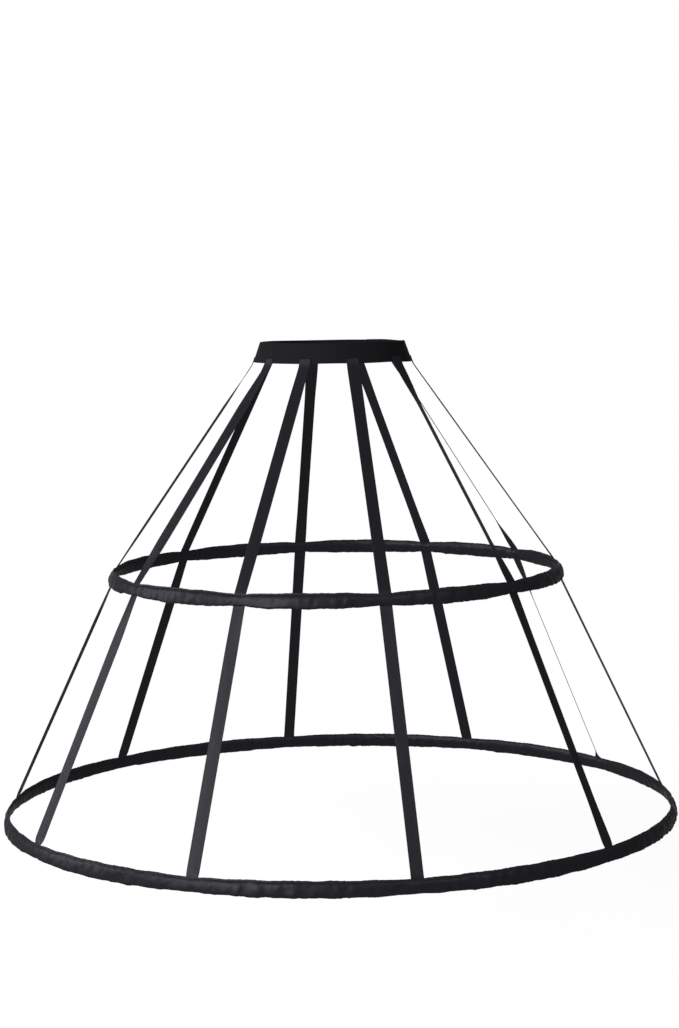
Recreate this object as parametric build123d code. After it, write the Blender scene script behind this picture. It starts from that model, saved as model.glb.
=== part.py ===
from build123d import *
from dataclasses import dataclass
import math
import os

# Crinoline cage: an elastic waistband, ten ribbons that hang from it, and two boned hoops in gathered casings.
# Millimetres. The origin is the middle of the waist opening at half the waistband's height. +Z is up, the
# wearer faces -Y and the wearer's left side is +X. Azimuths are degrees from the front towards the left.

# Waistband: sizes of the outer face at the upper edge, and how far the lower edge stands out beyond it
waist_width = 238.0
waist_depth = 184.0
waistband_height = 30.0
waistband_flare = 10.5
waistband_thickness = 1.5
waistband_lap = 24.0

# Hoops, measured at the middle of their casings
upper_hoop_diameter = 670.0
lower_hoop_diameter = 1000.0
upper_hoop_drop = 314.0
hoop_spacing = 356.0

# Ribbons
ribbon_width = 18.0
ribbon_thickness = 0.5
ribbon_tab = 8.0
ribbon_turn = 30.0
ribbon_turn_steps = 4
ribbon_tail = 5.5
ribbon_seat_gap = 0.1
ribbon_places = ("front", "fore", "side", "rear", "back")
ribbon_sides = (("left", 1), ("right", -1))

# How far ribbons are sewn to the hoops off their even places, in degrees towards a growing azimuth
ribbon_shifts = {
    "ribbon_front_left": 1.2,
    "ribbon_front_right": 1.8,
    "ribbon_fore_right": 1.0,
    "ribbon_side_right": -1.0,
    "ribbon_rear_left": 13.0,
    "ribbon_rear_right": -1.5,
    "ribbon_back_left": 2.5,
    "ribbon_back_right": -1.5,
}

# Bones of flat spring steel, and the sleeves that join their ends
bone_width = 7.0
bone_thickness = 1.0
bone_end_gap = 3.0
bone_clearance = 0.3
sleeve_length = 30.0
sleeve_wall = 0.5
sleeve_clearance = 0.1

# Casings: ease is the cloth above and below the bone at a ribbon, puff is the height gained between ribbons,
# and they lean by a share of the ribbons' own lean
casing_wall = 0.7
casing_edge_wall = 1.5
casing_slack = 0.4
casing_lean_share = 0.5
upper_casing_ease = 5.0
upper_casing_puff = 2.7
lower_casing_ease = 6.5
lower_casing_puff = 1.5
casing_seam_margin = 1.5
gather_length = 58.0
gather_height = 0.6
gather_drift = 0.5
gather_depth = 0.2
puff_rise_share = 0.6
slit_clearance = 0.3

# Bar tacks
stitch_width = 0.7
stitch_height = 0.35
stitch_inset = 1.5
stitch_seat_gap = 0.05
waist_stitch_row_shares = (0.3, 0.7)
hoop_stitch_depth = 3.5

waist_low = -waistband_height / 2
upper_hoop_z = waist_low - upper_hoop_drop
lower_hoop_z = upper_hoop_z - hoop_spacing
upper_hoop_radius = upper_hoop_diameter / 2
lower_hoop_radius = lower_hoop_diameter / 2
mean_waist_radius = (waist_width + waist_depth) / 4 + waistband_flare
upper_run_lean = math.atan2(upper_hoop_radius - mean_waist_radius, upper_hoop_drop)
lower_run_lean = math.atan2(lower_hoop_radius - upper_hoop_radius, hoop_spacing)
ribbon_offset = -(ribbon_thickness + bone_clearance) / 2
bone_offset = (bone_thickness + bone_clearance) / 2
sleeve_width = bone_width + 2 * (sleeve_clearance + sleeve_wall)
sleeve_depth = bone_thickness + 2 * (sleeve_clearance + sleeve_wall)
stitch_length = ribbon_width - 2 * stitch_inset


@dataclass
class Hoop:
    """One hoop: its circle, how far its casing leans from upright (radians) and the casing's half height."""

    radius: float
    height: float
    lean: float
    half_height: float
    puff: float

    def half_depth(self, half_height, piece_width, piece_reach):
        """Half of the casing's depth where it goes round a piece that reaches this far out from its middle."""
        tunnel = half_height - casing_edge_wall
        narrowing = 1 - (piece_width / 2 / tunnel) ** 2
        return (piece_reach + bone_clearance) / narrowing + casing_slack + casing_wall

    def seam_half_depth(self):
        return self.half_depth(self.half_height, bone_width, bone_offset + bone_thickness / 2)

    def puff_half_depth(self):
        return self.half_depth(self.half_height + self.puff, sleeve_width, bone_offset + sleeve_depth / 2)

    def point(self, azimuth, upward=0.0, outward=0.0):
        """A point in the casing's own upward and outward directions from the middle of its section."""
        turn = math.radians(azimuth)
        reach = self.radius + outward * math.cos(self.lean) - upward * math.sin(self.lean)
        rise = self.height + outward * math.sin(self.lean) + upward * math.cos(self.lean)
        return Vector(reach * math.sin(turn), -reach * math.cos(turn), rise)

    def plane(self):
        """Section plane at the front, with x up along the casing and y outwards."""
        upwards = (0, math.sin(self.lean), math.cos(self.lean))
        return Plane(origin=self.point(0), x_dir=upwards, z_dir=(1, 0, 0))

    def degrees(self, arc_length):
        return math.degrees(arc_length / self.radius)


upper_hoop = Hoop(
    upper_hoop_radius,
    upper_hoop_z,
    casing_lean_share * (upper_run_lean + lower_run_lean) / 2,
    bone_width / 2 + upper_casing_ease,
    upper_casing_puff,
)
lower_hoop = Hoop(
    lower_hoop_radius,
    lower_hoop_z,
    casing_lean_share * lower_run_lean,
    bone_width / 2 + lower_casing_ease,
    lower_casing_puff,
)


# Waistband

def waist_point(turn, rise):
    """Point on the waistband's outer face, at an ellipse angle from the front and a rise above the lower edge."""
    spread = waistband_flare * (1 - rise / waistband_height)
    half_width = waist_width / 2 + spread
    half_depth = waist_depth / 2 + spread
    return Vector(half_width * math.sin(turn), -half_depth * math.cos(turn), waist_low + rise)


def waist_turn(azimuth):
    """Ellipse angle of a place that shares out the waistband's length as the azimuth shares out a circle."""
    steps = 720
    turns = [2 * math.pi * step / steps for step in range(steps + 1)]
    points = [waist_point(turn, 0) for turn in turns]
    lengths = [(after - before).length for before, after in zip(points, points[1:])]
    remaining = sum(lengths) * (azimuth % 360) / 360
    for turn, length in zip(turns, lengths):
        if remaining <= length:
            return turn + 2 * math.pi / steps * remaining / length
        remaining -= length
    return turns[-1]


def waistband_layer(inset, thickness):
    """Flared ring of cloth whose outer face lies inset from the waistband's outer face."""
    def rim(height, spread, depth):
        half_width = waist_width / 2 + spread - depth
        half_depth = waist_depth / 2 + spread - depth
        return Pos(0, 0, height) * Ellipse(half_width, half_depth)

    def cone(depth):
        lower = rim(waist_low, waistband_flare, depth)
        upper = rim(waist_low + waistband_height, 0, depth)
        return loft([lower, upper], ruled=True)

    return cone(inset) - cone(inset + thickness)


def waistband():
    """The elastic loop, with its ends lapped inside at the back."""
    band = waistband_layer(0, waistband_thickness)
    lining = waistband_layer(waistband_thickness, waistband_thickness)
    back_reach = waist_depth / 2 + waistband_flare
    lap_zone = Pos(0, back_reach / 2, 0) * Box(waistband_lap, back_reach, waistband_height)
    return band + (lining & lap_zone)


# Ribbons

@dataclass
class Ribbon:
    """One ribbon: its place round the waistband and its azimuth on the hoops, which it crosses squarely."""

    azimuth: float
    hoop_azimuth: float

    def tab(self):
        """Seat on the waistband: a point on its lower edge, then the directions across, down and out."""
        turn = waist_turn(self.azimuth)
        lower = waist_point(turn, 0)
        downward = (lower - waist_point(turn, waistband_height)).normalized()
        half_width = waist_width / 2 + waistband_flare
        half_depth = waist_depth / 2 + waistband_flare
        across = Vector(half_width * math.cos(turn), half_depth * math.sin(turn), 0).normalized()
        outward = downward.cross(across).normalized()
        return lower, across, downward, outward

    def stations(self):
        """Middle points of the ribbon, top to bottom, each with its width direction."""
        lower, across, downward, outward = self.tab()
        edge = lower + outward * (ribbon_seat_gap + ribbon_thickness / 2)
        entry = upper_hoop.point(self.hoop_azimuth, upper_hoop.half_height, ribbon_offset)
        way_out = upper_hoop.point(self.hoop_azimuth, -upper_hoop.half_height, ribbon_offset)
        foot = lower_hoop.point(self.hoop_azimuth, lower_hoop.half_height, ribbon_offset)
        tail = lower_hoop.point(self.hoop_azimuth, -ribbon_tail, ribbon_offset)
        hoop_turn = math.radians(self.hoop_azimuth)
        hoop_across = Vector(math.cos(hoop_turn), math.sin(hoop_turn), 0)
        knee = edge + downward * (ribbon_turn / 2)
        heading = (entry - knee).normalized()
        places = [(edge - downward * ribbon_tab, across)]
        for step in range(ribbon_turn_steps + 1):
            share = step / ribbon_turn_steps
            above = knee - downward * (ribbon_turn / 2 * (1 - share))
            below = knee + heading * (ribbon_turn / 2 * share)
            turned = (across * (1 - share) + hoop_across * share).normalized()
            places.append((above * (1 - share) + below * share, turned))
        return places + [(point, hoop_across) for point in (entry, way_out, foot, tail)]

    def solid(self, extra=0.0):
        """The ribbon, or with extra a block that much larger all round for cutting its slits."""
        places = self.stations()
        headings = [(after[0] - before[0]).normalized() for before, after in zip(places, places[1:])]
        sections = []
        for index, (middle, across) in enumerate(places):
            arriving = headings[max(index - 1, 0)]
            leaving = headings[min(index, len(headings) - 1)]
            through = (arriving + leaving).cross(across).normalized()
            square = leaving.cross(across).normalized()
            half_width = across * (ribbon_width / 2 + extra)
            half_depth = through * ((ribbon_thickness / 2 + extra) / through.dot(square))
            corners = [
                middle - half_width - half_depth,
                middle + half_width - half_depth,
                middle + half_width + half_depth,
                middle - half_width + half_depth,
            ]
            sections.append(Face(Wire.make_polygon(corners, close=True)))
        return loft(sections, ruled=True)


def make_ribbons():
    """Ribbons by name, spread evenly round the waistband and nearly so on the hoops."""
    pitch = 180 / len(ribbon_places)
    ribbons = {}
    for side, sign in ribbon_sides:
        for index, place in enumerate(ribbon_places):
            name = f"ribbon_{place}_{side}"
            azimuth = sign * (index + 1 / 2) * pitch
            ribbons[name] = Ribbon(azimuth, azimuth + ribbon_shifts.get(name, 0))
    return ribbons


# Casings

def lens(half_height, half_depth):
    """Flattened outline of two arcs that meet at an upper and a lower edge, drawn with x up."""
    low = (-half_height, 0)
    high = (half_height, 0)
    outer = ThreePointArc(low, (0, half_depth), high)
    inner = ThreePointArc(high, (0, -half_depth), low)
    return Wire([outer, inner])


def casing_outline(hoop, azimuth, share, gathers, wall, edge_wall):
    """Section of a casing at a share of the way from one ribbon's seam to the next, inset by a wall."""
    swell = math.sin(math.pi * share) ** puff_rise_share
    wave = math.sin(2 * math.pi * gathers * share)
    drift = gather_drift * math.sin(2 * math.pi * (gathers + 1) * share)
    half_height = hoop.half_height + hoop.puff * swell + gather_height * wave
    half_depth = hoop.seam_half_depth() * (1 - swell) + hoop.puff_half_depth() * swell - gather_depth * wave
    outline = Pos(drift, 0) * lens(half_height - edge_wall, half_depth - wall)
    return Rot(0, 0, azimuth) * (hoop.plane() * outline)


def casing_ring(hoop, ribbons, wall, edge_wall):
    """Closed ring of cloth, flat at each ribbon and gathered between, inset by a wall."""
    seam_turn = hoop.degrees(ribbon_width / 2 + casing_seam_margin)
    azimuths = sorted(ribbon.hoop_azimuth for ribbon in ribbons)
    followers = azimuths[1:] + [azimuths[0] + 360]
    outlines = []
    for azimuth, follower in zip(azimuths, followers):
        start = azimuth + seam_turn
        sweep = follower - seam_turn - start
        gathers = max(1, round(math.radians(sweep) * hoop.radius / gather_length))
        crests = [(fold + 1 / 2) / (2 * gathers) for fold in range(2 * gathers)]
        outlines.append(casing_outline(hoop, azimuth - seam_turn, 0, gathers, wall, edge_wall))
        for share in [0] + crests:
            outlines.append(casing_outline(hoop, start + sweep * share, share, gathers, wall, edge_wall))
    return Solid.make_loft(outlines + outlines[:1], ruled=True)


def casing(hoop, ribbons):
    """Gathered tube of cloth around a hoop, with slits where the ribbons go in."""
    cloth = casing_ring(hoop, ribbons, 0, 0)
    tunnel = casing_ring(hoop, ribbons, casing_wall, casing_edge_wall)
    slits = [ribbon.solid(slit_clearance) for ribbon in ribbons]
    return cloth - tunnel - slits


# Bones and sleeves

def bone(hoop):
    """Flat steel ring, open by a small gap at the back."""
    gap = hoop.degrees(bone_end_gap)
    strip = hoop.plane() * (Pos(0, bone_offset) * Rectangle(bone_width, bone_thickness))
    return revolve(Rot(0, 0, 180 + gap / 2) * strip, Axis.Z, 360 - gap)


def joining_sleeve(hoop):
    """Flat tube around the two ends of a bone."""
    outer = RectangleRounded(sleeve_width, sleeve_depth, sleeve_wall)
    hollow = Rectangle(bone_width + 2 * sleeve_clearance, bone_thickness + 2 * sleeve_clearance)
    profile = hoop.plane() * (Pos(0, bone_offset) * (outer - hollow))
    turn = hoop.degrees(sleeve_length)
    return revolve(Rot(0, 0, 180 - turn / 2) * profile, Axis.Z, turn)


# Bar tacks

def waist_stitches(ribbons):
    """Rows of thread across each ribbon where it lies on the waistband."""
    bars = []
    for ribbon in ribbons:
        lower, across, downward, outward = ribbon.tab()
        lift = ribbon_seat_gap + ribbon_thickness + stitch_height / 2
        for share in waist_stitch_row_shares:
            middle = lower - downward * (ribbon_tab * share) + outward * lift
            seat = Plane(origin=middle, x_dir=across, z_dir=outward)
            bars.append(seat * Box(stitch_length, stitch_width, stitch_height))
    return Compound(bars)


def hoop_stitches(hoop, ribbons, rows):
    """Rows of thread along the outside of a casing, near its upper edge (1) or lower edge (-1)."""
    bars = []
    half_depth = hoop.seam_half_depth()
    face_radius = (hoop.half_height ** 2 + half_depth ** 2) / (2 * half_depth)
    thread_radius = face_radius + stitch_seat_gap + stitch_height / 2
    turn = hoop.degrees(stitch_length)
    for row in rows:
        facing = math.acos(row * (hoop.half_height - hoop_stitch_depth) / face_radius)
        upward = thread_radius * math.cos(facing)
        outward = thread_radius * math.sin(facing) - face_radius + half_depth
        thread = Pos(upward, outward) * (Rot(0, 0, math.degrees(facing)) * Rectangle(stitch_height, stitch_width))
        for ribbon in ribbons:
            start = Rot(0, 0, ribbon.hoop_azimuth - turn / 2)
            bars.append(revolve(start * (hoop.plane() * thread), Axis.Z, turn))
    return Compound(bars)


ribbons = make_ribbons()
nodes = {"waistband": waistband()}
for name, ribbon in ribbons.items():
    nodes[name] = ribbon.solid()
nodes["upper_casing"] = casing(upper_hoop, ribbons.values())
nodes["lower_casing"] = casing(lower_hoop, ribbons.values())
nodes["upper_bone"] = bone(upper_hoop)
nodes["lower_bone"] = bone(lower_hoop)
nodes["upper_joining_sleeve"] = joining_sleeve(upper_hoop)
nodes["lower_joining_sleeve"] = joining_sleeve(lower_hoop)
nodes["waist_stitches"] = waist_stitches(ribbons.values())
nodes["upper_hoop_stitches"] = hoop_stitches(upper_hoop, ribbons.values(), (1, -1))
nodes["lower_hoop_stitches"] = hoop_stitches(lower_hoop, ribbons.values(), (1,))

os.makedirs("parts", exist_ok=True)
for name, shape in nodes.items():
    export_step(shape, f"parts/{name}.step")
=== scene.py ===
import math
from dataclasses import dataclass

import bpy
import numpy as np
from mathutils import Matrix, Vector


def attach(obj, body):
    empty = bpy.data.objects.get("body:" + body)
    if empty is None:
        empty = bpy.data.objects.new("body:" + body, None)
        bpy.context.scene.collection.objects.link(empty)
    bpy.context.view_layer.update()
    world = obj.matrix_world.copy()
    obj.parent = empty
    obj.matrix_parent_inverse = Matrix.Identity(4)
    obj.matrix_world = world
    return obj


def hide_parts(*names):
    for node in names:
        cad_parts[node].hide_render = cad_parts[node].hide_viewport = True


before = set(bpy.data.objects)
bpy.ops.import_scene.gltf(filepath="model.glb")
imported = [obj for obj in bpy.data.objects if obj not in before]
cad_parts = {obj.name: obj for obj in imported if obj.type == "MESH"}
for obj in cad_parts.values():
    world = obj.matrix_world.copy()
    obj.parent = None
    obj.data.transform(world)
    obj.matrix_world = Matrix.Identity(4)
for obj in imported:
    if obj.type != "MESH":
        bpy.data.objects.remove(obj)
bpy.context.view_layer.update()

# Crinoline cage in metres, in the frame of the solids: +Z up, its front towards -Y and its left towards +X.
# Azimuths are degrees from the front towards the left.

# Waistband
waist_half_width = 0.119
waist_half_depth = 0.092
waistband_height = 0.030
waistband_flare = 0.0105
waistband_thickness = 0.0015
waistband_lap = 0.024
waistband_lap_slope = 0.007
waistband_lap_gap = 0.0001
waistband_ribs = 20
waistband_rib_depth = 0.00012
waistband_edge_wave = 0.0006
waistband_edge_waves = 7
waistband_lower_edge_seed = 3
waistband_lower_edge_first_wave = 3
waistband_upper_edge_seed = 4
waistband_upper_edge_first_wave = 2
waistband_edge_round_share = 0.35
waistband_edge_run_share = 0.025
waistband_steps = 360
waistband_steps_per_rib = 4
waist_ellipse_steps = 1440

# Hoops
upper_hoop_radius = 0.335
lower_hoop_radius = 0.500
upper_hoop_drop = 0.314
hoop_spacing = 0.356

# Ribbons
ribbon_width = 0.018
ribbon_half_thickness = 0.00022
ribbon_selvedge_half_thickness = 0.00032
ribbon_selvedge_width = 0.0011
ribbon_cup = 0.00025
ribbon_seat_gap = 0.0001
ribbon_tab = 0.008
ribbon_turn = 0.009
ribbon_tail = 0.0055
ribbon_offset = -0.0004
ribbon_twist_run = 0.075
ribbon_foot_run = 0.008
ribbon_tab_steps = 4
ribbon_turn_steps = 8
ribbon_upper_steps = 70
ribbon_seam_steps = 4
ribbon_lower_steps = 80
ribbon_tail_steps = 4
ribbon_flat_points = 9
ribbon_edge_points = 5
ribbon_places = ("front", "fore", "side", "rear", "back")
ribbon_sides = (("left", 1), ("right", -1))

# How far ribbons are sewn to the hoops off their even places, in degrees towards a growing azimuth
ribbon_shifts = {
    "ribbon_front_left": 1.2,
    "ribbon_front_right": 1.8,
    "ribbon_fore_right": 1.0,
    "ribbon_side_right": -1.0,
    "ribbon_rear_left": 13.0,
    "ribbon_rear_right": -1.5,
    "ribbon_back_left": 2.5,
    "ribbon_back_right": -1.5,
}

# How far each ribbon turns about its own length: on the upper run, on the lower run and at its foot (degrees)
ribbon_twists = {
    "ribbon_front_right": (19, 15, 2),
    "ribbon_front_left": (8, 11, 0),
    "ribbon_fore_left": (6, 3, 0),
    "ribbon_side_left": (23, 5, -12),
    "ribbon_rear_left": (-1, 1, 0),
    "ribbon_back_left": (-29, -30, 0),
    "ribbon_back_right": (-10, 6, 0),
    "ribbon_rear_right": (15, 7, 0),
    "ribbon_side_right": (-3, -9, 0),
    "ribbon_fore_right": (-5, -7, 0),
}

# Casings: how far they lean with the ribbons, their half height at a ribbon and its gain between ribbons,
# and their half depth at a ribbon and between ribbons
casing_lean_share = 0.5
upper_casing_half_height = 0.0085
upper_casing_puff = 0.0027
upper_casing_seam_depth = 0.0028
upper_casing_puff_depth = 0.0034
lower_casing_half_height = 0.0100
lower_casing_puff = 0.0015
lower_casing_seam_depth = 0.0027
lower_casing_puff_depth = 0.0033
puff_rise_power = 0.6
casing_cloth_thickness = 0.0004
casing_step = 0.0024
casing_heading_steps = 4
casing_tunnel_steps = 20

# Heading: the flat double edge above the casing's stitch line
casing_heading = 0.0020
casing_heading_clearance = 0.0040
casing_heading_gap = 0.0005
heading_follow_share = 0.4
heading_sway_power = 1.5

# Tunnel: powers of the curve by which it opens below the stitch line and above the fold
stitch_rise_power = 1.8
fold_rise_power = 0.45

# Gathers: the cloth's spare length, and the waves that it makes in the casing's edges and depth
gather_length = 0.058
gather_height = 0.0003
edge_wave = 0.0003
edge_bump = 0.00028
edge_wave_length = 0.045
edge_bump_length = 0.009
edge_seam_share = 0.35
depth_wave_share = 0.10

# Creases that run down the cloth from the stitch line and up it from the fold; slants in radians
crease_spacing = 0.014
crease_length = 0.022
crease_width = 0.0042
crease_height = 0.0009
crease_slant = 0.7
crease_slant_spread = 0.35
crease_place_share = 0.45
crease_length_shares = (0.6, 1.5)
crease_width_shares = (0.7, 1.5)
crease_height_shares = (0.2, 1.2)
crease_window_share = 2.6
crease_start_share = 0.35
crease_end_share = 0.7
crease_hollow_share = 0.55
crease_hollow_offset_share = 1.7
crease_held_run = 0.003
fold_crease_share = 0.7

# Puckers close below the stitch lines
pucker_length = 0.010
pucker_reach = 0.005
pucker_height = 0.0003

# Slanted folds where the cloth is drawn tight, about one azimuth of the hoops; their drift in radians
tight_azimuth = 123.0
tight_spread = 14.0
tight_fold_length = 0.022
tight_fold_slant = 0.027
tight_fold_height = 0.0012
tight_fold_even_share = 0.75
tight_fold_uneven_share = 0.45
tight_fold_uneven_length = 0.044
tight_fold_drift = 2.0
tight_fold_drift_length = 0.066

# Seeds: one for each hoop, and what each uneven line of its casing adds to it
upper_hoop_seed = 11
lower_hoop_seed = 23
hem_seed = 1
top_seed = 2
sway_seed = 3
inner_pucker_seed = 3
outer_pucker_seed = 5
tight_drift_seed = 6
fullness_seed = 7
tight_uneven_seed = 9
bump_seed = 20

# Stitches
thread_radius = 0.00019
thread_end_share = 0.45
thread_bow_share = 1.4
thread_sink_share = 0.5
thread_rings = 5
thread_sides = 6
stitch_length = 0.0026
stitch_pitch = 0.0031
stitch_inset = 0.0015
waist_stitch_row_shares = (0.3, 0.7)
upper_tack_rows = 2
lower_tack_rows = 1
tack_steps_below_stitches = 2
tack_steps_above_fold = 4

# Uneven ripples: the weight of each wave, and the waves that are mixed for one wave length
ripple_weight_shares = (0.5, 1)
mixed_wave_shares = (0.6, 0.75, 0.9, 1.05, 1.25, 1.45, 1.7)

waist_low = -waistband_height / 2
upper_hoop_height = waist_low - upper_hoop_drop
lower_hoop_height = upper_hoop_height - hoop_spacing
mean_waist_radius = (waist_half_width + waist_half_depth) / 2 + waistband_flare
upper_run_lean = math.atan2(upper_hoop_radius - mean_waist_radius, upper_hoop_drop)
lower_run_lean = math.atan2(lower_hoop_radius - upper_hoop_radius, hoop_spacing)


# Small tools

def unit(vectors):
    return vectors / np.linalg.norm(vectors, axis=-1, keepdims=True)


def ease(share):
    """Smooth rise from 0 to 1."""
    share = np.clip(share, 0, 1)
    return share * share * (3 - 2 * share)


def ripple(places, seed, waves):
    """Smooth uneven wave of about unit height that closes on itself as places goes from 0 to 1."""
    draw = np.random.default_rng(seed)
    total = np.zeros_like(places)
    for count in waves:
        weight = draw.uniform(*ripple_weight_shares)
        total += weight * np.sin(2 * np.pi * (count * places + draw.uniform()))
    return total / math.sqrt(len(waves))


def mixed_waves(round_length, wave_length):
    """Counts of waves round a hoop for an uneven ripple of about this wave length."""
    middle = round_length / wave_length
    return [round(middle * share) for share in mixed_wave_shares]


def lengths_along(points):
    """Lengths from the first of these points to each of them, along the line through them."""
    return np.concatenate([[0], np.cumsum(np.linalg.norm(np.diff(points, axis=0), axis=1))])


def link(name, mesh, material):
    piece = bpy.data.objects.new(name, mesh)
    piece.data.materials.append(material)
    bpy.context.scene.collection.objects.link(piece)
    mesh.shade_smooth()
    return piece


def loop_skin(name, rows, across, along, material, closed_along=False):
    """Mesh over rows of points. Each row is a closed loop; across and along are the cloth's own lengths."""
    row_count, loop_count = rows.shape[:2]
    steps = np.arange(row_count if closed_along else row_count - 1)
    sides = np.arange(loop_count)
    step, side = (grid.ravel() for grid in np.meshgrid(steps, sides, indexing="ij"))
    following = (step + 1) % row_count
    beside = (side + 1) % loop_count
    faces = np.stack(
        [
            step * loop_count + side,
            step * loop_count + beside,
            following * loop_count + beside,
            following * loop_count + side,
        ],
        axis=1,
    ).tolist()
    along_here, along_next = along[step], along[step + 1]
    across_here, across_next = across[side], across[side + 1]
    corners = np.stack(
        [
            np.stack([across_here, along_here], 1),
            np.stack([across_next, along_here], 1),
            np.stack([across_next, along_next], 1),
            np.stack([across_here, along_next], 1),
        ],
        axis=1,
    ).reshape(-1, 2)
    if not closed_along:
        first = list(range(loop_count))[::-1]
        last = list(range((row_count - 1) * loop_count, row_count * loop_count))
        faces += [first, last]
        ends = np.concatenate([
            np.stack([across[:-1][::-1], np.full(loop_count, along[0])], 1),
            np.stack([across[:-1], np.full(loop_count, along[-1])], 1),
        ])
        corners = np.concatenate([corners, ends])
    mesh = bpy.data.meshes.new(name)
    mesh.from_pydata(rows.reshape(-1, 3).tolist(), [], faces)
    cloth = mesh.uv_layers.new(name="cloth")
    cloth.uv.foreach_set("vector", corners.astype(np.float32).ravel())
    mesh.validate()
    return link(name, mesh, material)


# Materials

# A low refraction keeps dull cloth from glaring where it is seen at a slant. Each cloth's own gloss, the
# share of light that it reflects where it is seen straight on, is set as a multiple of the bare gloss.
cloth_refraction = 1.03
bare_gloss = ((cloth_refraction - 1) / (cloth_refraction + 1)) ** 2
cool_shine = (0.9, 0.89, 1)
sheen_roughness = 0.4
sheen_tint = (0.75, 0.78, 0.9, 1)

# Yarns: how far each warp thread's crossings lie from its neighbour's, and how streaks and clouds are used
weft_step_share = 0.4
streak_detail = 3
cloud_detail = 2
streak_tone_share = 0.5
streak_height_share = 0.5
noise_low = 0.3
noise_high = 0.7
metal_streaks = {"Streaks": 900, "Stretch": 0.2, "Clouds": 25}
metal_bump = (0.00005, 0.3)

# Sockets of the node that mixes two colours
first_colour = 6
second_colour = 7
mixed_colour = 2


def add(tree, kind, **settings):
    node = tree.nodes.new(kind)
    for name, value in settings.items():
        setattr(node, name, value)
    return node


def wire(tree, target, source):
    tree.links.new(source, target)


def arithmetic(tree, operation, first, second=None, third=None):
    node = add(tree, "ShaderNodeMath", operation=operation)
    for socket, value in zip(node.inputs, (first, second, third)):
        if value is None:
            continue
        if isinstance(value, (int, float)):
            socket.default_value = value
        else:
            wire(tree, socket, value)
    return node.outputs[0]


def new_group(name, inputs, outputs):
    """Shader node group with named inputs and outputs, each of one kind of socket."""
    group = bpy.data.node_groups.new(name, "ShaderNodeTree")
    for socket_name, kind in inputs.items():
        group.interface.new_socket(socket_name, in_out="INPUT", socket_type=kind)
    for socket_name, kind in outputs.items():
        group.interface.new_socket(socket_name, in_out="OUTPUT", socket_type=kind)
    start = add(group, "NodeGroupInput")
    end = add(group, "NodeGroupOutput")
    return group, start.outputs, end.inputs


def thread_round(tree, phase):
    """Height over threads that lie side by side, one for each whole step of the phase."""
    half_turns = arithmetic(tree, "MULTIPLY", phase, math.pi)
    return arithmetic(tree, "ABSOLUTE", arithmetic(tree, "SINE", half_turns))


def make_weave():
    """Raised warp and weft threads, from the cloth's own coordinates in metres."""
    group, given, result = new_group(
        "woven threads",
        {
            "Place": "NodeSocketVector",
            "Warp Pitch": "NodeSocketFloat",
            "Weft Pitch": "NodeSocketFloat",
            "Warp Share": "NodeSocketFloat",
        },
        {"Height": "NodeSocketFloat"},
    )
    parts = add(group, "ShaderNodeSeparateXYZ")
    wire(group, parts.inputs[0], given["Place"])
    warp_phase = arithmetic(group, "DIVIDE", parts.outputs["X"], given["Warp Pitch"])
    weft_phase = arithmetic(group, "DIVIDE", parts.outputs["Y"], given["Weft Pitch"])
    warp = thread_round(group, warp_phase)
    warp_count = arithmetic(group, "FLOOR", warp_phase)
    weft = thread_round(group, arithmetic(group, "MULTIPLY_ADD", warp_count, weft_step_share, weft_phase))
    weft_share = arithmetic(group, "SUBTRACT", 1, given["Warp Share"])
    weft_height = arithmetic(group, "MULTIPLY", weft, weft_share)
    wire(group, result["Height"], arithmetic(group, "MULTIPLY_ADD", warp, given["Warp Share"], weft_height))
    return group


def add_noise(tree, place, scale, detail):
    noise = add(tree, "ShaderNodeTexNoise")
    noise.inputs["Detail"].default_value = detail
    wire(tree, noise.inputs["Vector"], place)
    wire(tree, noise.inputs["Scale"], scale)
    return noise.outputs["Fac"]


def make_streaks():
    """Long streaks down a yarn or a rolled strip, and a slow cloudiness over it."""
    group, given, result = new_group(
        "long streaks",
        {
            "Place": "NodeSocketVector",
            "Streaks": "NodeSocketFloat",
            "Stretch": "NodeSocketFloat",
            "Clouds": "NodeSocketFloat",
        },
        {"Streak": "NodeSocketFloat", "Cloud": "NodeSocketFloat"},
    )
    parts = add(group, "ShaderNodeSeparateXYZ")
    wire(group, parts.inputs[0], given["Place"])
    drawn_out = add(group, "ShaderNodeCombineXYZ")
    wire(group, drawn_out.inputs["X"], parts.outputs["X"])
    wire(group, drawn_out.inputs["Y"], arithmetic(group, "MULTIPLY", parts.outputs["Y"], given["Stretch"]))
    wire(group, result["Streak"], add_noise(group, drawn_out.outputs[0], given["Streaks"], streak_detail))
    wire(group, result["Cloud"], add_noise(group, given["Place"], given["Clouds"], cloud_detail))
    return group


woven_threads = make_weave()
long_streaks = make_streaks()


def new_material(name):
    material = bpy.data.materials.new(name)
    material.use_nodes = True
    tree = material.node_tree
    return material, tree, tree.nodes["Principled BSDF"]


def place_group(tree, group, place, values):
    node = add(tree, "ShaderNodeGroup", node_tree=group)
    wire(tree, node.inputs["Place"], place)
    for name, value in values.items():
        node.inputs[name].default_value = value
    return node.outputs


def blend_colour(tree, factor, dark, light):
    node = add(tree, "ShaderNodeMix", data_type="RGBA")
    wire(tree, node.inputs["Factor"], factor)
    node.inputs[first_colour].default_value = (*dark, 1)
    node.inputs[second_colour].default_value = (*light, 1)
    return node.outputs[mixed_colour]


def spread_value(tree, factor, low, high):
    node = add(tree, "ShaderNodeMapRange")
    wire(tree, node.inputs["Value"], factor)
    node.inputs["From Min"].default_value = noise_low
    node.inputs["From Max"].default_value = noise_high
    node.inputs["To Min"].default_value = low
    node.inputs["To Max"].default_value = high
    return node.outputs[0]


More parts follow.
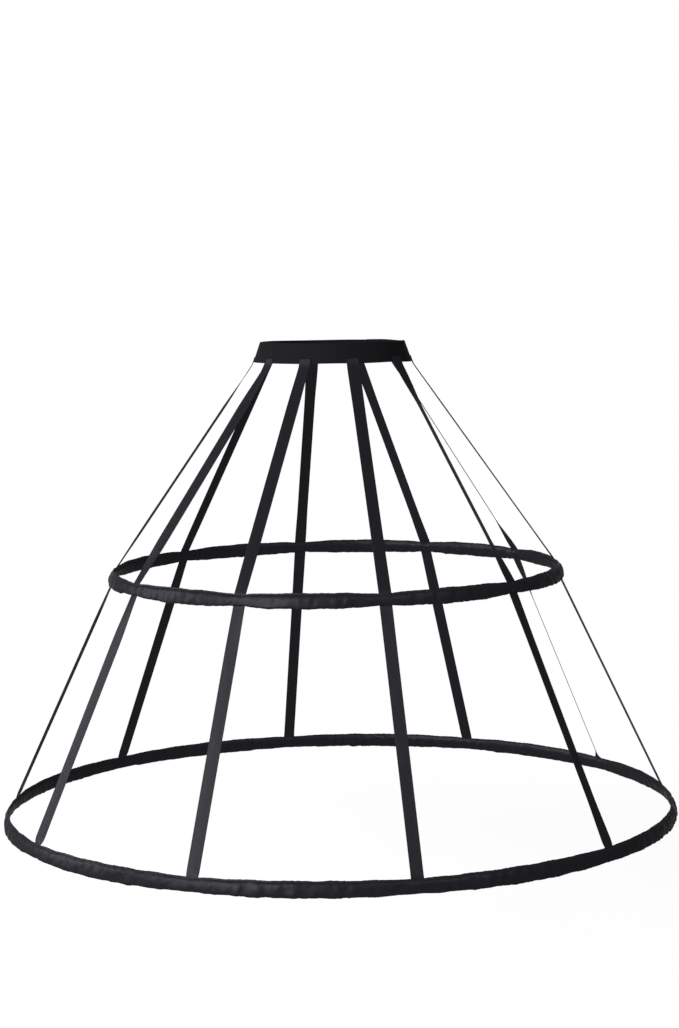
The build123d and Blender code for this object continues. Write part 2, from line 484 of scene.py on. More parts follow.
def raise_bumps(tree, shader, height, distance, strength):
    bump = add(tree, "ShaderNodeBump")
    bump.inputs["Distance"].default_value = distance
    bump.inputs["Strength"].default_value = strength
    wire(tree, bump.inputs["Height"], height)
    wire(tree, shader.inputs["Normal"], bump.outputs[0])


def cloth_material(name, dark, light, roughness, weave, streaks, bump, gloss, sheen):
    """Woven cloth with uneven yarns and raised threads. The bump is a distance and a strength."""
    material, tree, shader = new_material(name)
    cloth = add(tree, "ShaderNodeUVMap", uv_map="cloth").outputs[0]
    thread = place_group(tree, woven_threads, cloth, weave)
    yarn = place_group(tree, long_streaks, cloth, streaks)
    both = arithmetic(tree, "ADD", yarn["Streak"], yarn["Cloud"])
    tone = arithmetic(tree, "MULTIPLY", both, streak_tone_share)
    wire(tree, shader.inputs["Base Color"], blend_colour(tree, tone, dark, light))
    wire(tree, shader.inputs["Roughness"], spread_value(tree, yarn["Streak"], *roughness))
    height = arithmetic(tree, "MULTIPLY_ADD", yarn["Streak"], streak_height_share, thread["Height"])
    raise_bumps(tree, shader, height, *bump)
    shader.inputs["IOR"].default_value = cloth_refraction
    shader.inputs["Specular Tint"].default_value = (*[gloss / bare_gloss * part for part in cool_shine], 1)
    shader.inputs["Sheen Weight"].default_value = sheen
    shader.inputs["Sheen Roughness"].default_value = sheen_roughness
    shader.inputs["Sheen Tint"].default_value = sheen_tint
    return material


def metal_material(name, dark, light, roughness):
    """Rolled metal strip with fine scratches, placed by the object's own coordinates."""
    material, tree, shader = new_material(name)
    place = add(tree, "ShaderNodeTexCoord").outputs["Object"]
    grain = place_group(tree, long_streaks, place, metal_streaks)
    wire(tree, shader.inputs["Base Color"], blend_colour(tree, grain["Cloud"], dark, light))
    wire(tree, shader.inputs["Roughness"], spread_value(tree, grain["Streak"], *roughness))
    raise_bumps(tree, shader, grain["Streak"], *metal_bump)
    shader.inputs["Metallic"].default_value = 1
    return material


ribbon_satin = cloth_material(
    "ribbon satin",
    dark=(0.0024, 0.0022, 0.0030),
    light=(0.0075, 0.0071, 0.0090),
    roughness=(0.28, 0.40),
    weave={"Warp Pitch": 0.00028, "Weft Pitch": 0.0009, "Warp Share": 0.75},
    streaks={"Streaks": 1600, "Stretch": 0.015, "Clouds": 30},
    bump=(0.00006, 0.4),
    gloss=0.0061,
    sheen=0,
)
casing_satin = cloth_material(
    "casing satin",
    dark=(0.0022, 0.0022, 0.0030),
    light=(0.0070, 0.0070, 0.0092),
    roughness=(0.30, 0.42),
    weave={"Warp Pitch": 0.00025, "Weft Pitch": 0.0007, "Warp Share": 0.7},
    streaks={"Streaks": 900, "Stretch": 0.06, "Clouds": 60},
    bump=(0.00005, 0.35),
    gloss=0.0065,
    sheen=0,
)
waist_elastic = cloth_material(
    "waist elastic",
    dark=(0.0020, 0.0018, 0.0023),
    light=(0.0052, 0.0048, 0.0058),
    roughness=(0.62, 0.80),
    weave={"Warp Pitch": 0.0015, "Weft Pitch": 0.0006, "Warp Share": 0.5},
    streaks={"Streaks": 700, "Stretch": 0.05, "Clouds": 50},
    bump=(0.00012, 0.6),
    gloss=0.0029,
    sheen=0.01,
)
sewing_thread = cloth_material(
    "sewing thread",
    dark=(0.0100, 0.0100, 0.0120),
    light=(0.0280, 0.0280, 0.0320),
    roughness=(0.45, 0.60),
    weave={"Warp Pitch": 0.0004, "Weft Pitch": 0.0006, "Warp Share": 0.4},
    streaks={"Streaks": 1200, "Stretch": 0.2, "Clouds": 80},
    bump=(0.00008, 0.6),
    gloss=0.0102,
    sheen=0.02,
)
spring_steel = metal_material("spring steel", (0.36, 0.37, 0.39), (0.48, 0.49, 0.51), (0.24, 0.40))
rolled_brass = metal_material("rolled brass", (0.55, 0.40, 0.16), (0.68, 0.52, 0.24), (0.26, 0.42))


# Waistband

def waist_points(turns, rises, inset):
    """Points at ellipse angles and rises above the lower edge, moved inwards from the outer face."""
    spread = waistband_flare * (1 - rises / waistband_height) - inset
    return np.stack(
        [
            (waist_half_width + spread) * np.sin(turns),
            -(waist_half_depth + spread) * np.cos(turns),
            waist_low + rises,
        ],
        axis=-1,
    )


waist_turns = np.linspace(0, 2 * np.pi, waist_ellipse_steps + 1)
waist_lengths = lengths_along(waist_points(waist_turns, np.zeros_like(waist_turns), 0))
waist_round = waist_lengths[-1]


def waist_turn(lengths):
    """Ellipse angles of places that lie these lengths along the lower edge from the front."""
    laps = np.floor(lengths / waist_round)
    return 2 * np.pi * laps + np.interp(lengths - laps * waist_round, waist_lengths, waist_turns)


def waist_edge_line(places, seed, first_wave):
    """Slow rise and fall of one edge of the waistband."""
    waves = range(first_wave, first_wave + waistband_edge_waves)
    return waistband_edge_wave * ripple(places, seed, waves)[:, None]


def make_waistband():
    """One strip of ribbed elastic, closed at the back by a lap whose under end steps inwards."""
    start = waist_round / 2 - waistband_lap / 2
    strip_length = waist_round + waistband_lap
    along = np.linspace(0, strip_length, waistband_steps + 1)
    turns = waist_turn(start + along)
    to_end = strip_length - along
    under = ease((waistband_lap + waistband_lap_slope - to_end) / waistband_lap_slope)
    inset = under * (waistband_thickness + waistband_lap_gap)
    shares = np.linspace(0, 1, waistband_steps_per_rib * waistband_ribs + 1)
    ribs = waistband_rib_depth * np.cos(2 * np.pi * waistband_ribs * shares)
    from_edge = np.clip(np.minimum(shares, 1 - shares) / waistband_edge_run_share, 0, 1)
    edge_round = waistband_thickness * waistband_edge_round_share * (1 - from_edge) ** 2
    outer_depth = waistband_rib_depth - ribs + edge_round
    inner_depth = waistband_thickness - outer_depth
    loop_shares = np.concatenate([shares, shares[::-1]])
    loop_depths = np.concatenate([outer_depth, inner_depth[::-1]])
    places = along / strip_length
    lower_edge = waist_edge_line(places, waistband_lower_edge_seed, waistband_lower_edge_first_wave)
    upper_edge = waist_edge_line(places, waistband_upper_edge_seed, waistband_upper_edge_first_wave)
    rises = lower_edge * (1 - loop_shares) + (waistband_height + upper_edge) * loop_shares
    rises = np.clip(rises, -waistband_edge_wave, waistband_height + waistband_edge_wave)
    rows = waist_points(turns[:, None], rises, inset[:, None] + loop_depths[None])
    across = np.concatenate([loop_shares, loop_shares[:1]]) * waistband_height
    piece = loop_skin("elastic_waistband", rows, across, along, waist_elastic)
    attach(piece, "root")
    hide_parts("waistband")


# Hoops and ribbons

@dataclass
class Hoop:
    """One hoop: its circle, its casing's lean from upright (radians) and its casing's sizes."""

    name: str
    radius: float
    height: float
    lean: float
    half_height: float
    puff: float
    seam_depth: float
    puff_depth: float
    tack_rows: int
    seed: int

    @property
    def round_length(self):
        return 2 * math.pi * self.radius

    def points(self, azimuths, upward, outward):
        """Points in the casing's own upward and outward directions from the middle of its section."""
        turns = np.radians(azimuths)
        reach = self.radius + outward * math.cos(self.lean) - upward * math.sin(self.lean)
        rise = self.height + outward * math.sin(self.lean) + upward * math.cos(self.lean)
        return np.stack([reach * np.sin(turns), -reach * np.cos(turns), rise], axis=-1)


upper_hoop = Hoop(
    name="upper",
    radius=upper_hoop_radius,
    height=upper_hoop_height,
    lean=casing_lean_share * (upper_run_lean + lower_run_lean) / 2,
    half_height=upper_casing_half_height,
    puff=upper_casing_puff,
    seam_depth=upper_casing_seam_depth,
    puff_depth=upper_casing_puff_depth,
    tack_rows=upper_tack_rows,
    seed=upper_hoop_seed,
)
lower_hoop = Hoop(
    name="lower",
    radius=lower_hoop_radius,
    height=lower_hoop_height,
    lean=casing_lean_share * lower_run_lean,
    half_height=lower_casing_half_height,
    puff=lower_casing_puff,
    seam_depth=lower_casing_seam_depth,
    puff_depth=lower_casing_puff_depth,
    tack_rows=lower_tack_rows,
    seed=lower_hoop_seed,
)


@dataclass
class Ribbon:
    """One ribbon: its place round the waistband and its azimuth on the hoops."""

    name: str
    azimuth: float
    hoop_azimuth: float

    def tab(self):
        """Seat on the waistband: a point on its lower edge, then the directions across, down and out."""
        turn = waist_turn(np.array(self.azimuth % 360 / 360 * waist_round))
        lower = waist_points(turn, 0, 0)
        upper = waist_points(turn, waistband_height, 0)
        downward = unit(lower - upper)
        half_width = waist_half_width + waistband_flare
        half_depth = waist_half_depth + waistband_flare
        across = unit(np.array([half_width * math.cos(turn), half_depth * math.sin(turn), 0]))
        return lower, across, downward, unit(np.cross(downward, across))

    def line(self):
        """Middle line of the ribbon with the direction across it, top to bottom."""
        lower, across, downward, outward = self.tab()
        edge = lower + outward * (ribbon_seat_gap + ribbon_half_thickness)
        azimuth = np.array(self.hoop_azimuth)
        entry = upper_hoop.points(azimuth, upper_hoop.half_height, ribbon_offset)
        way_out = upper_hoop.points(azimuth, -upper_hoop.half_height, ribbon_offset)
        foot = lower_hoop.points(azimuth, lower_hoop.half_height, ribbon_offset)
        tail = lower_hoop.points(azimuth, -ribbon_tail, ribbon_offset)
        hoop_turn = math.radians(self.hoop_azimuth)
        hoop_across = np.array([math.cos(hoop_turn), math.sin(hoop_turn), 0])
        knee = edge + downward * (ribbon_turn / 2)
        heading = unit(entry - knee)
        turn_end = knee + heading * (ribbon_turn / 2)
        upper_twist, lower_twist, foot_twist = (math.radians(angle) for angle in ribbon_twists[self.name])
        upper_length = np.linalg.norm(entry - turn_end)
        lower_length = np.linalg.norm(foot - way_out)
        points, acrosses, twists = [], [], []

        def lay(place, direction, twist):
            points.append(place)
            acrosses.append(direction)
            twists.append(twist)

        for share in np.linspace(0, 1, ribbon_tab_steps, endpoint=False):
            lay(edge - downward * ribbon_tab * (1 - share), across, 0)
        for share in np.linspace(0, 1, ribbon_turn_steps, endpoint=False):
            above = edge + (knee - edge) * share
            below = knee + (turn_end - knee) * share
            lay(above + (below - above) * share, across, 0)
        for share in np.linspace(0, 1, ribbon_upper_steps, endpoint=False):
            begun = ease(share * upper_length / ribbon_twist_run)
            ending = ease((1 - share) * upper_length / ribbon_twist_run)
            turning = unit(across + (hoop_across - across) * begun)
            lay(turn_end + (entry - turn_end) * share, turning, upper_twist * begun * ending)
        for share in np.linspace(0, 1, ribbon_seam_steps, endpoint=False):
            lay(entry + (way_out - entry) * share, hoop_across, 0)
        for share in np.linspace(0, 1, ribbon_lower_steps, endpoint=False):
            begun = ease(share * lower_length / ribbon_twist_run)
            ending = ease((1 - share) * lower_length / ribbon_foot_run)
            foot_turn = ease(1 - (1 - share) * lower_length / ribbon_twist_run) * ending
            twist = lower_twist * begun * ending + foot_twist * foot_turn
            lay(way_out + (foot - way_out) * share, hoop_across, twist)
        for share in np.linspace(0, 1, ribbon_tail_steps):
            lay(foot + (tail - foot) * share, hoop_across, 0)
        return np.array(points), np.array(acrosses), np.array(twists)


def make_ribbons():
    """Ribbons, spread evenly round the waistband and nearly so on the hoops."""
    pitch = 180 / len(ribbon_places)
    ribbons = []
    for side, sign in ribbon_sides:
        for index, place in enumerate(ribbon_places):
            name = f"ribbon_{place}_{side}"
            azimuth = sign * (index + 1 / 2) * pitch
            ribbons.append(Ribbon(name, azimuth, azimuth + ribbon_shifts.get(name, 0)))
    return ribbons


def tape_section():
    """Closed outline of the tape: a flat middle between two thicker woven edges. Across, then through."""
    half = ribbon_width / 2
    inner = half - ribbon_selvedge_width
    flat = np.linspace(-inner, inner, ribbon_flat_points)
    bead = ribbon_selvedge_half_thickness
    edge_turns = np.linspace(-math.pi / 2, math.pi / 2, ribbon_edge_points)
    right = [(half - bead + bead * math.cos(turn), bead * math.sin(turn)) for turn in edge_turns]
    left = [(-across, -through) for across, through in right]
    under = [(across, -ribbon_half_thickness) for across in flat]
    over = [(across, ribbon_half_thickness) for across in flat[::-1]]
    return np.array(under + right + over + left)


def make_ribbon(ribbon):
    """Woven satin tape along the ribbon's line, turned about it as it hangs."""
    middle, across, twists = ribbon.line()
    headings = unit(np.gradient(middle, axis=0))
    across = unit(across - headings * (across * headings).sum(1, keepdims=True))
    through = unit(np.cross(headings, across))
    cos, sin = np.cos(twists)[:, None], np.sin(twists)[:, None]
    turned = across * cos - through * sin
    facing = through * cos + across * sin
    section = tape_section()
    cup = ribbon_cup * (1 - (section[:, 0] / (ribbon_width / 2)) ** 2)
    lengths = lengths_along(middle)
    free = ease((lengths - ribbon_tab) / ribbon_turn)
    through_offsets = section[None, :, 1] + cup[None] * free[:, None]
    rows = (
        middle[:, None]
        + turned[:, None] * section[None, :, 0, None]
        + facing[:, None] * through_offsets[:, :, None]
    )
    across_lengths = lengths_along(np.concatenate([section, section[:1]]))
    piece = loop_skin("tape_" + ribbon.name, rows, across_lengths, lengths, ribbon_satin)
    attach(piece, "root")
    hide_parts(ribbon.name)


# Casings

@dataclass
class Casing:
    """Cloth of one casing: outline points for each place along it, and where its stitch lines run."""

    hoop: Hoop
    azimuths: np.ndarray
    outline: np.ndarray
    across: np.ndarray
    stitch_columns: tuple


def swelling(hoop, azimuths, seams):
    """Swell of each place between its two ribbons, from 0 to 1, and the wave of the gathers there."""
    seam_turn = math.degrees((ribbon_width / 2 + stitch_inset) / hoop.radius)
    edges = np.array(sorted(seams))
    edges = np.concatenate([edges, edges[:1] + 360])
    place = (azimuths - edges[0]) % 360 + edges[0]
    index = np.searchsorted(edges, place, side="right") - 1
    start = edges[index] + seam_turn
    sweep = edges[index + 1] - seam_turn - start
    share = np.clip((place - start) / sweep, 0, 1)
    gathers = np.maximum(1, np.round(np.radians(sweep) * hoop.radius / gather_length))
    return np.sin(np.pi * share) ** puff_rise_power, np.sin(2 * np.pi * gathers * share)


def crease_relief(hoop, lengths, across, stitches, fold):
    """Height of the gathering creases, which run over the cloth from the stitch lines and the fold."""
    draw = np.random.default_rng(hoop.seed)
    relief = np.zeros((len(lengths), len(across)))
    step = lengths[1] - lengths[0]
    count = int(hoop.round_length / crease_spacing)
    reach = int(crease_window_share * crease_length / step)
    window = np.arange(-reach, reach + 1)
    sources = (
        (stitches[0], 1, 1, -crease_slant),
        (stitches[1], -1, 1, -crease_slant),
        (fold, 1, fold_crease_share, crease_slant),
        (fold, -1, fold_crease_share, crease_slant),
    )
    for origin, sense, strength, slant in sources:
        for crease in range(count):
            place = (crease + draw.uniform(-crease_place_share, crease_place_share)) * crease_spacing
            lean = draw.normal(slant, crease_slant_spread)
            length = crease_length * draw.uniform(*crease_length_shares)
            width = crease_width * draw.uniform(*crease_width_shares)
            height = crease_height * strength * draw.uniform(*crease_height_shares)
            nearest = int(round(place / step))
            rows = (nearest + window) % len(lengths)
            ahead = (window * step + (nearest * step - place))[:, None]
            down = (sense * (across - origin))[None]
            along_crease = down * math.cos(lean) + ahead * math.sin(lean)
            beside = ahead * math.cos(lean) - down * math.sin(lean)
            begun = ease(along_crease / (crease_start_share * length))
            ending = ease((length - along_crease) / (crease_end_share * length))
            ridge = np.exp(-((beside / width) ** 2))
            hollow = np.exp(-((beside / width - crease_hollow_offset_share) ** 2))
            relief[rows] += height * begun * ending * (ridge - crease_hollow_share * hollow)
    return relief


def pucker_relief(hoop, places, across, stitches):
    """Height of the small puckers close to the stitch lines."""
    waves = mixed_waves(hoop.round_length, pucker_length)
    outer = ripple(places, hoop.seed + outer_pucker_seed, waves)
    inner = ripple(places, hoop.seed + inner_pucker_seed, waves)
    from_outer = np.clip((across - stitches[0]) / pucker_reach, 0, None)
    from_inner = np.clip((stitches[1] - across) / pucker_reach, 0, None)
    puckers = outer[:, None] * np.exp(-(from_outer ** 2)) + inner[:, None] * np.exp(-(from_inner ** 2))
    return pucker_height * puckers


def tight_fold_relief(hoop, azimuths, lengths, across):
    """Height of the slanted folds where the cloth is drawn tight."""
    places = azimuths / 360
    from_middle = (azimuths - tight_azimuth + 180) % 360 - 180
    tight = np.exp(-((from_middle / tight_spread) ** 2))
    drift_waves = mixed_waves(hoop.round_length, tight_fold_drift_length)
    uneven_waves = mixed_waves(hoop.round_length, tight_fold_uneven_length)
    drift = tight_fold_drift * ripple(places, hoop.seed + tight_drift_seed, drift_waves)
    uneven = tight_fold_uneven_share * ripple(places, hoop.seed + tight_uneven_seed, uneven_waves)
    strength = tight * (tight_fold_even_share + uneven)
    turns = 2 * np.pi * (lengths[:, None] / tight_fold_length - across[None] / tight_fold_slant)
    return tight_fold_height * strength[:, None] * np.sin(turns + drift[:, None])


def outline_normals(outline):
    """Directions that stand out from the section outlines, upward and outward parts."""
    slopes = np.gradient(outline, axis=1)
    return unit(np.stack([slopes[..., 1], -slopes[..., 0]], axis=-1))


def casing_outline(hoop, places, swell, wave):
    """Section outlines before creasing: a flat heading above the stitches and a full tunnel below."""
    slow_waves = mixed_waves(hoop.round_length, edge_wave_length)
    quick_waves = mixed_waves(hoop.round_length, edge_bump_length)
    half_height = hoop.half_height + hoop.puff * swell + gather_height * wave
    fullness = ripple(places, hoop.seed + fullness_seed, slow_waves)
    half_depth = hoop.seam_depth * (1 - swell) + hoop.puff_depth * swell
    half_depth = half_depth * (1 + depth_wave_share * fullness * swell)
    heading = np.minimum(casing_heading, half_height - casing_heading_clearance)

    def edge_line(seed):
        slow = edge_wave * ripple(places, hoop.seed + seed, slow_waves)
        quick = edge_bump * ripple(places, hoop.seed + seed + bump_seed, quick_waves)
        return (slow + quick) * (edge_seam_share + (1 - edge_seam_share) * swell)

    hem = -half_height + edge_line(hem_seed)
    top = half_height + edge_line(top_seed)
    sway = edge_line(sway_seed)
    stitch = half_height - heading + heading_follow_share * (top - half_height)
    middle = (stitch + hem) / 2
    reach = (stitch - hem) / 2
    upward, outward = [], []
    heading_shares = np.arange(casing_heading_steps) / casing_heading_steps
    for share in heading_shares:
        upward.append(top + (stitch - top) * share)
        outward.append(casing_heading_gap + sway * (1 - share) ** heading_sway_power)
    for turn in np.linspace(0, 2 * np.pi, casing_tunnel_steps + 1):
        side = math.copysign(1, math.pi - turn)
        toward_fold = (1 - math.cos(turn)) / 2
        rise = stitch_rise_power + (fold_rise_power - stitch_rise_power) * toward_fold
        at_stitch = casing_heading_gap * ease(math.cos(turn))
        upward.append(middle + reach * math.cos(turn))
        outward.append(side * (half_depth * abs(math.sin(turn)) ** rise + at_stitch))
    for share in heading_shares[::-1]:
        upward.append(top + (stitch - top) * share)
        outward.append(-casing_heading_gap + sway * (1 - share) ** heading_sway_power)
    return np.stack([np.array(upward).T, np.array(outward).T], axis=-1)


def casing_cloth(hoop, ribbons):
    """Section outlines of the gathered and creased cloth all round one hoop."""
    count = int(hoop.round_length / casing_step)
    azimuths = np.arange(count) * 360 / count
    lengths = np.radians(azimuths) * hoop.radius
    places = azimuths / 360
    swell, wave = swelling(hoop, azimuths, [ribbon.hoop_azimuth % 360 for ribbon in ribbons])
    outline = casing_outline(hoop, places, swell, wave)
    across = lengths_along(outline.mean(axis=0))
    stitch_columns = (casing_heading_steps, casing_heading_steps + casing_tunnel_steps)
    stitches = across[list(stitch_columns)]
    relief = crease_relief(hoop, lengths, across, stitches, across[-1] / 2)
    relief += pucker_relief(hoop, places, across, stitches)
    relief += tight_fold_relief(hoop, azimuths, lengths, across)
    held = ease((across - stitches[0]) / crease_held_run) * ease((stitches[1] - across) / crease_held_run)
    outline = outline + outline_normals(outline) * (relief * held)[..., None]
    return Casing(hoop, azimuths, outline, across, stitch_columns)


def make_casing(casing):
    """Closed skin of the casing's cloth, with its own thickness and two free edges at the top."""
    hoop = casing.hoop
    inside = casing.outline - outline_normals(casing.outline) * casing_cloth_thickness
    loop = np.concatenate([casing.outline, inside[:, ::-1]], axis=1)
    rows = hoop.points(casing.azimuths[:, None], loop[..., 0], loop[..., 1])
    across = np.concatenate([casing.across, casing.across[::-1], casing.across[:1]])
    along = np.arange(len(rows) + 1) * (hoop.round_length / len(rows))
    name = f"{hoop.name}_casing_cloth"
    piece = loop_skin(name, rows, across, along, casing_satin, closed_along=True)
    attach(piece, "root")
    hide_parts(f"{hoop.name}_casing")
    return piece


# Stitches

def thread_piece(name, starts, ends, lifts):
    """Short bowed lengths of thread between starts and ends, standing up along lifts."""
    shares = np.linspace(0, 1, thread_rings)
    sizes = np.full(thread_rings, thread_radius)
    sizes[[0, -1]] *= thread_end_share
    rises = thread_radius * (thread_bow_share * np.sin(np.pi * shares) - thread_sink_share)
    heading = unit(ends - starts)
    sideways = unit(np.cross(heading, lifts))
    upward = np.cross(sideways, heading)
    angles = 2 * np.pi * np.arange(thread_sides) / thread_sides
    middle = starts[:, None] + (ends - starts)[:, None] * shares[None, :, None]
    middle = middle + upward[:, None] * rises[None, :, None]
    circle = (
        sideways[:, None, None] * np.cos(angles)[None, None, :, None]
        + upward[:, None, None] * np.sin(angles)[None, None, :, None]
    )
    points = middle[:, :, None] + circle * sizes[None, :, None, None]
    ring_starts = np.arange(thread_rings) * thread_sides
    sides = np.arange(thread_sides)
    ring, side = (grid.ravel() for grid in np.meshgrid(ring_starts[:-1], sides, indexing="ij"))
    beside = (side + 1) % thread_sides
    following = ring + thread_sides
    quads = np.stack([ring + side, ring + beside, following + beside, following + side], axis=1)
    caps = np.stack([sides[::-1], ring_starts[-1] + sides])
    firsts = np.arange(len(starts))[:, None, None] * thread_rings * thread_sides
    faces = (firsts + quads).reshape(-1, 4).tolist()
    faces += (firsts + caps).reshape(-1, thread_sides).tolist()
    mesh = bpy.data.meshes.new(name)
    mesh.from_pydata(points.reshape(-1, 3).tolist(), [], faces)
    spots = np.stack(
        [
            np.broadcast_to(angles * thread_radius, points.shape[:3]),
            np.broadcast_to((shares * stitch_length)[None, :, None], points.shape[:3]),
        ],
        axis=-1,
    ).reshape(-1, 2)
    corner_points = np.zeros(len(mesh.loops), np.int32)
    mesh.loops.foreach_get("vertex_index", corner_points)
    cloth = mesh.uv_layers.new(name="cloth")
    cloth.uv.foreach_set("vector", spots[corner_points].astype(np.float32).ravel())
    piece = link(name, mesh, sewing_thread)
    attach(piece, "root")
    return piece


def casing_surface(casing, azimuths, column):
    """Points on the casing's cloth along one of its columns, with the directions that stand out from it."""
    hoop = casing.hoop
    whole = np.concatenate([casing.azimuths, [360]])
    upward = np.concatenate([casing.outline[:, column, 0], casing.outline[:1, column, 0]])
    outward = np.concatenate([casing.outline[:, column, 1], casing.outline[:1, column, 1]])
    azimuths = azimuths % 360
    up = np.interp(azimuths, whole, upward)
    out = np.interp(azimuths, whole, outward)
    side = 1 if column <= casing.outline.shape[1] // 2 else -1
    points = hoop.points(azimuths, up, out)
    lifts = hoop.points(azimuths, up, out + side) - points
    return points, lifts


def stitch_row(casing, starts, column):
    """Stitches that begin at these azimuths and follow one column of the casing's cloth."""
    turn = math.degrees(stitch_length / casing.hoop.radius)
    points, lifts = casing_surface(casing, starts, column)
    ends, _ = casing_surface(casing, starts + turn, column)
    return points, ends, lifts


def make_top_stitching(casing):
    """Running stitches round the whole casing, on its outer and inner face."""
    count = int(casing.hoop.round_length / stitch_pitch)
    starts = np.arange(count) * 360 / count
    rows = [stitch_row(casing, starts, column) for column in casing.stitch_columns]
    return thread_piece(f"{casing.hoop.name}_casing_top_stitching", *map(np.concatenate, zip(*rows)))


def tack_places():
    """Places across a ribbon where the stitches of one tack begin, from its middle."""
    count = int((ribbon_width - 2 * stitch_inset) / stitch_pitch)
    return (np.arange(count) - count / 2) * stitch_pitch


def make_hoop_tacks(casing, ribbons):
    """Rows of stitches that hold each ribbon in the casing: below its stitch line, then above its fold."""
    hoop = casing.hoop
    below_stitches = casing.stitch_columns[0] + tack_steps_below_stitches
    above_fold = casing.outline.shape[1] // 2 - tack_steps_above_fold
    turns = np.degrees(tack_places() / hoop.radius)
    starts = np.concatenate([ribbon.hoop_azimuth + turns for ribbon in ribbons])
    columns = (below_stitches, above_fold)[: hoop.tack_rows]
    rows = [stitch_row(casing, starts, column) for column in columns]
    piece = thread_piece(f"{hoop.name}_hoop_tacks", *map(np.concatenate, zip(*rows)))
    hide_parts(f"{hoop.name}_hoop_stitches")
    return piece


def make_waist_tacks(ribbons):
    """Two rows of stitches across each ribbon's seat on the waistband."""
    face = ribbon_seat_gap + 2 * ribbon_half_thickness
    starts, ends, lifts = [], [], []
    for ribbon in ribbons:
        lower, across, downward, outward = ribbon.tab()
        for share in waist_stitch_row_shares:
            middle = lower - downward * (ribbon_tab * share) + outward * face
            for offset in tack_places():
                starts.append(middle + across * offset)
                ends.append(middle + across * (offset + stitch_length))
                lifts.append(outward)
    piece = thread_piece("waist_tacks", np.array(starts), np.array(ends), np.array(lifts))
    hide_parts("waist_stitches")


def make_hoop_cloth(hoop, ribbons):
    """Gathered casing of one hoop, with its rows of stitches."""
    casing = casing_cloth(hoop, ribbons)
    cloth = make_casing(casing)
    seam = make_top_stitching(casing)
    tacks = make_hoop_tacks(casing, ribbons)


ribbons = make_ribbons()
make_waistband()
for ribbon in ribbons:
    make_ribbon(ribbon)
for hoop in (upper_hoop, lower_hoop):
    make_hoop_cloth(hoop, ribbons)
    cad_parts[f"{hoop.name}_bone"].data.materials[0] = spring_steel
    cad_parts[f"{hoop.name}_joining_sleeve"].data.materials[0] = rolled_brass
make_waist_tacks(ribbons)


# Floor, light and camera

# Camera: angles in degrees, lens and sensor in millimetres
camera_azimuth = 42.52
camera_distance = 3.438
camera_height = 0.092
camera_pitch = 5.57
camera_aim_offset = 0.0069
camera_roll = -1.05
camera_lens = 80.84
camera_sensor_width = 36

# Floor: it shows the cage's shade near the middle and turns white further out
floor_height = -0.955
floor_half_size = 12.0
floor_colour = (0.82, 0.82, 0.82, 1)
floor_roughness = 0.9
floor_glow_share = 0.8
floor_shade_radius = 0.9
floor_white_radius = 1.7
ambient_light = 0.22

# Soft lamps: turn from the camera in degrees, distance, height and size in metres, and power in watts
lamps = {
    "key": {"turn": -38, "distance": 3.1, "height": 0.75, "width": 2.0, "tall": 2.9, "power": 182},
    "side": {"turn": -96, "distance": 3.1, "height": 0.5, "width": 1.4, "tall": 2.8, "power": 135},
    "fill": {"turn": 34, "distance": 3.1, "height": 1.75, "width": 1.4, "tall": 1.4, "power": 36},
    "top": {"turn": 150, "distance": 1.5, "height": 3.2, "width": 2.0, "tall": 2.0, "power": 30},
}


def round_the_cage(azimuth, distance, height):
    turn = math.radians(azimuth)
    return Vector((distance * math.sin(turn), -distance * math.cos(turn), height))


def aim(thing, place, target, roll=0):
    turn = (target - place).to_track_quat("-Z", "Y").to_matrix().to_4x4()
    thing.matrix_world = Matrix.Translation(place) @ turn @ Matrix.Rotation(math.radians(roll), 4, "Z")


def make_camera():
    data = bpy.data.cameras.new("camera")
    data.lens = camera_lens
    data.sensor_width = camera_sensor_width
    camera = bpy.data.objects.new("camera", data)
    bpy.context.scene.collection.objects.link(camera)
    place = round_the_cage(camera_azimuth, camera_distance, camera_height)
    rightward = round_the_cage(camera_azimuth + 90, camera_aim_offset, 0)
    drop = camera_distance * math.tan(math.radians(camera_pitch))
    aim(camera, place, rightward + Vector((0, 0, camera_height - drop)), camera_roll)
    bpy.context.scene.camera = camera


def make_lamp(name, turn, distance, height, width, tall, power):
    data = bpy.data.lights.new(name, "AREA")
    data.shape = "ELLIPSE"
    data.size = width
    data.size_y = tall
    data.energy = power
    lamp = bpy.data.objects.new(name, data)
    bpy.context.scene.collection.objects.link(lamp)
    lamp.visible_camera = False
    place = round_the_cage(camera_azimuth + turn, distance, height)
    aim(lamp, place, Vector((0, 0, lower_hoop_height / 2)))


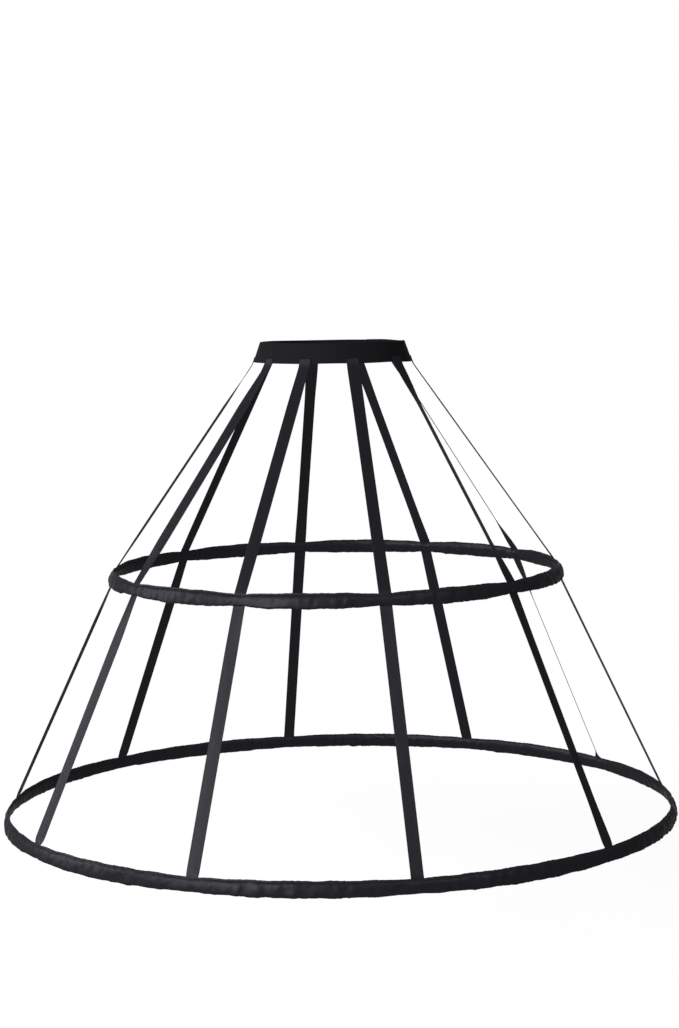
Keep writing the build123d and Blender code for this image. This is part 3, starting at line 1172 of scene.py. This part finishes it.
def seen_directly(tree):
    """1 for rays from the camera and for reflections, 0 for light that falls on the cage."""
    path = add(tree, "ShaderNodeLightPath").outputs
    seen = arithmetic(tree, "MAXIMUM", path["Is Camera Ray"], path["Is Glossy Ray"])
    return arithmetic(tree, "MAXIMUM", seen, path["Is Transmission Ray"])


def make_world():
    world = bpy.data.worlds.new("white studio")
    bpy.context.scene.world = world
    world.use_nodes = True
    tree = world.node_tree
    background = tree.nodes["Background"]
    background.inputs["Color"].default_value = (1, 1, 1, 1)
    strength = arithmetic(tree, "MULTIPLY_ADD", seen_directly(tree), 1 - ambient_light, ambient_light)
    wire(tree, background.inputs["Strength"], strength)


def make_floor():
    """Pale floor that shows white where nothing shades it."""
    mesh = bpy.data.meshes.new("floor")
    corner_signs = [(-1, -1), (1, -1), (1, 1), (-1, 1)]
    corners = [(x * floor_half_size, y * floor_half_size, 0) for x, y in corner_signs]
    mesh.from_pydata(corners, [], [(0, 1, 2, 3)])
    material, tree, shader = new_material("studio floor")
    shader.inputs["Base Color"].default_value = floor_colour
    shader.inputs["Roughness"].default_value = floor_roughness
    shader.inputs["Specular IOR Level"].default_value = 0
    seen = seen_directly(tree)
    glow = add(tree, "ShaderNodeEmission")
    wire(tree, glow.inputs["Strength"], seen)
    place = add(tree, "ShaderNodeTexCoord").outputs["Object"]
    distance = add(tree, "ShaderNodeVectorMath", operation="LENGTH")
    wire(tree, distance.inputs[0], place)
    far = add(tree, "ShaderNodeMapRange", interpolation_type="SMOOTHSTEP")
    wire(tree, far.inputs["Value"], distance.outputs["Value"])
    far.inputs["From Min"].default_value = floor_shade_radius
    far.inputs["From Max"].default_value = floor_white_radius
    far.inputs["To Min"].default_value = floor_glow_share
    far.inputs["To Max"].default_value = 1
    mixed = add(tree, "ShaderNodeMixShader")
    wire(tree, mixed.inputs[0], arithmetic(tree, "MULTIPLY", seen, far.outputs[0]))
    wire(tree, mixed.inputs[1], shader.outputs[0])
    wire(tree, mixed.inputs[2], glow.outputs[0])
    wire(tree, tree.nodes["Material Output"].inputs["Surface"], mixed.outputs[0])
    floor = link("floor", mesh, material)
    floor.location.z = floor_height


make_camera()
make_world()
make_floor()
for name, lamp in lamps.items():
    make_lamp(name, **lamp)
bpy.context.scene.view_settings.view_transform = "Standard"
